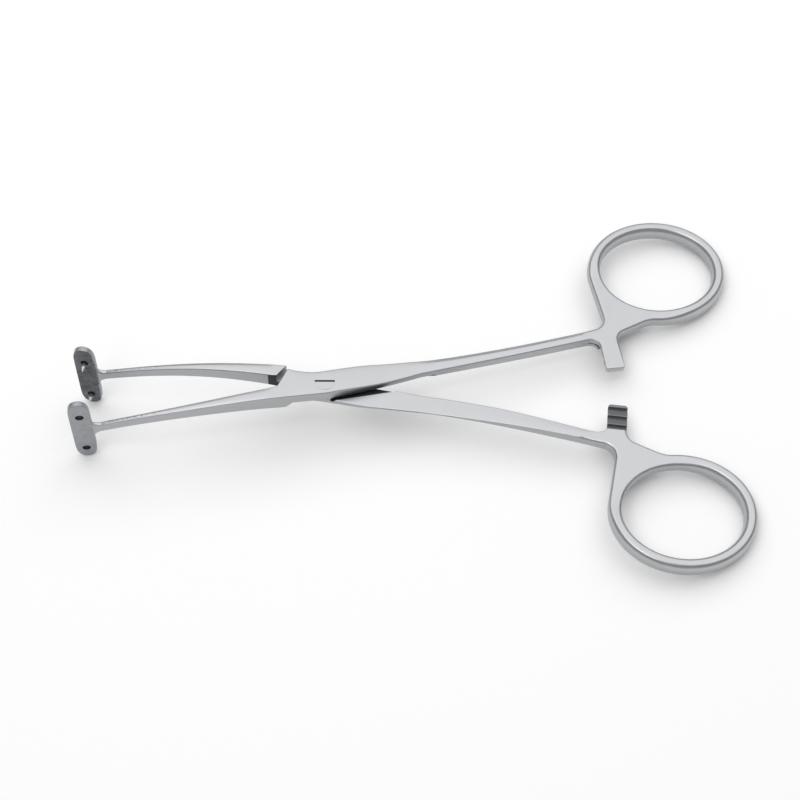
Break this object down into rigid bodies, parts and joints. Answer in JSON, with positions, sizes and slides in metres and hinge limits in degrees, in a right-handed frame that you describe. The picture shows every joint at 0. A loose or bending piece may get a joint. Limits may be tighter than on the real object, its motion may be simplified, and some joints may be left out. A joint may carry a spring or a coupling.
{
  "type": "flap grasping forceps",
  "caption": "Flap grasping forceps: box-lock ring-handled steel forceps with a ratchet, curved jaw arms and upright oval jaw plates, one with spikes and one with matching holes.",
  "frame": {"origin": "on the pivot pin's axis at the underside of the box lock", "axes": "+X from the jaws to the finger rings, +Y across towards the box half's ring, +Z along the pin, out of the box's upper face"},
  "size_m": [0.1511, 0.0934, 0.0212],
  "materials": {
    "satin_steel": "satin stainless steel",
    "plate_steel": "matt blasted stainless steel",
    "pin_steel": "ground stainless steel"
  },
  "bodies": {
    "box_side": {"box_half": "satin_steel", "pivot_pin": "pin_steel", "drilled_jaw_plate": "plate_steel"},
    "inner_side": {"inner_half": "satin_steel", "spiked_jaw_plate": "plate_steel", "upper_spike": "pin_steel", "lower_spike": "pin_steel"}
  },
  "joints": [
    {"name": "box_lock", "type": "hinge", "parent": "box_side", "child": "inner_side", "pos_m": [0, 0, 0.0023], "axis": [0, 0, -1], "range_deg": [-13.6, 30]}
  ]
}
